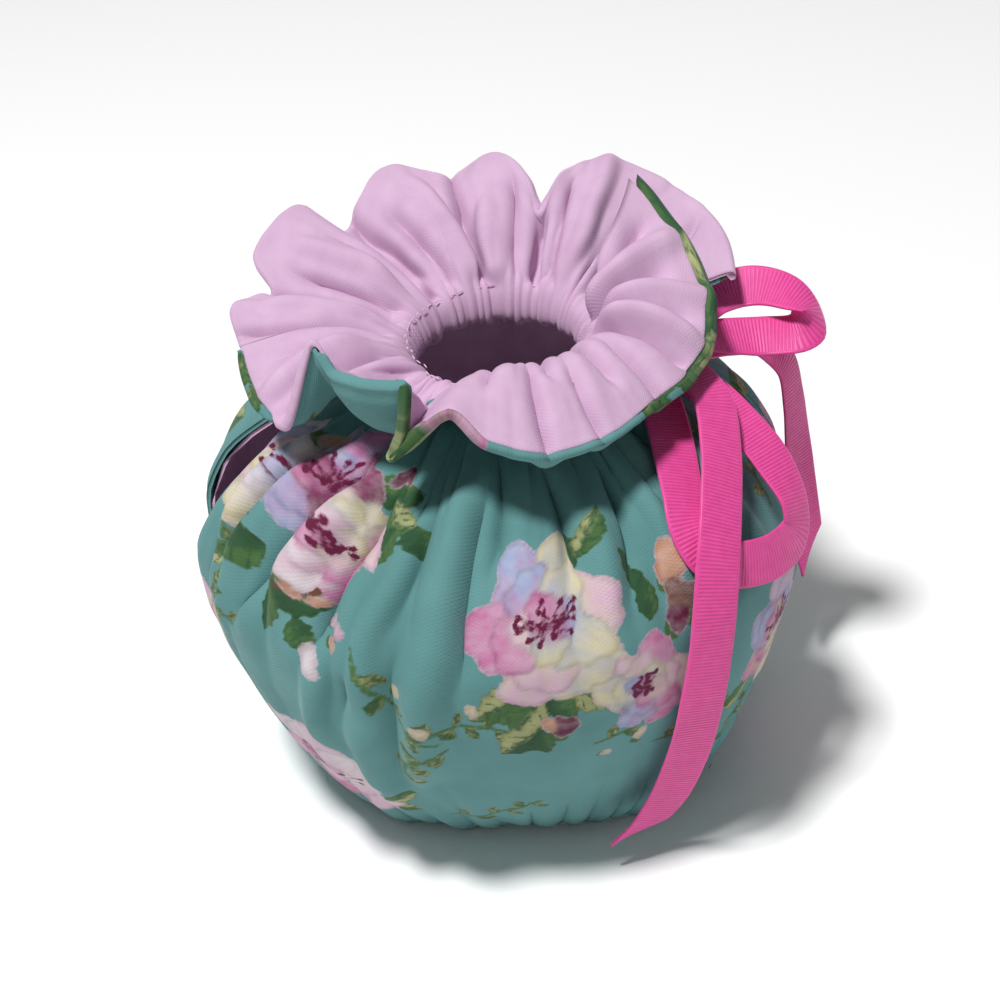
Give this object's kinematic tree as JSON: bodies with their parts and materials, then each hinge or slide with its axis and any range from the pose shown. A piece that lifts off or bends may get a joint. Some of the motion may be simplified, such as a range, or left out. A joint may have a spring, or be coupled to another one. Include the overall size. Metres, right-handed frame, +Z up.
{
  "type": "tea cosy",
  "caption": "Gathered cotton tea cosy with a ruffled collar, a drawn-in neck, slits for spout and handle, a plain lining and a ribbon tied in a bow.",
  "frame": {"origin": "on the surface that the hem stands on, at the middle of the cloth's box, the ribbon left out", "axes": "+Z up through the neck, +X towards the slit for the teapot's handle and the bow, -X towards the slit for its spout, -Y to the front"},
  "size_m": [0.1811, 0.1687, 0.1511],
  "materials": {
    "printed_cotton": "matt teal cotton with a floral print over thin wadding",
    "plain_cotton": "matt lilac pink plain-weave cotton",
    "grosgrain": "ribbed hot pink ribbon with a soft sheen"
  },
  "bodies": {
    "root": {"cover_front": "printed_cotton", "cover_back": "printed_cotton", "lining_front": "plain_cotton", "lining_back": "plain_cotton", "ribbon_tail_front": "grosgrain", "ribbon_tail_back": "grosgrain", "ribbon_loop_front": "grosgrain", "ribbon_loop_back": "grosgrain", "ribbon_knot": "grosgrain"}
  },
  "joints": []
}
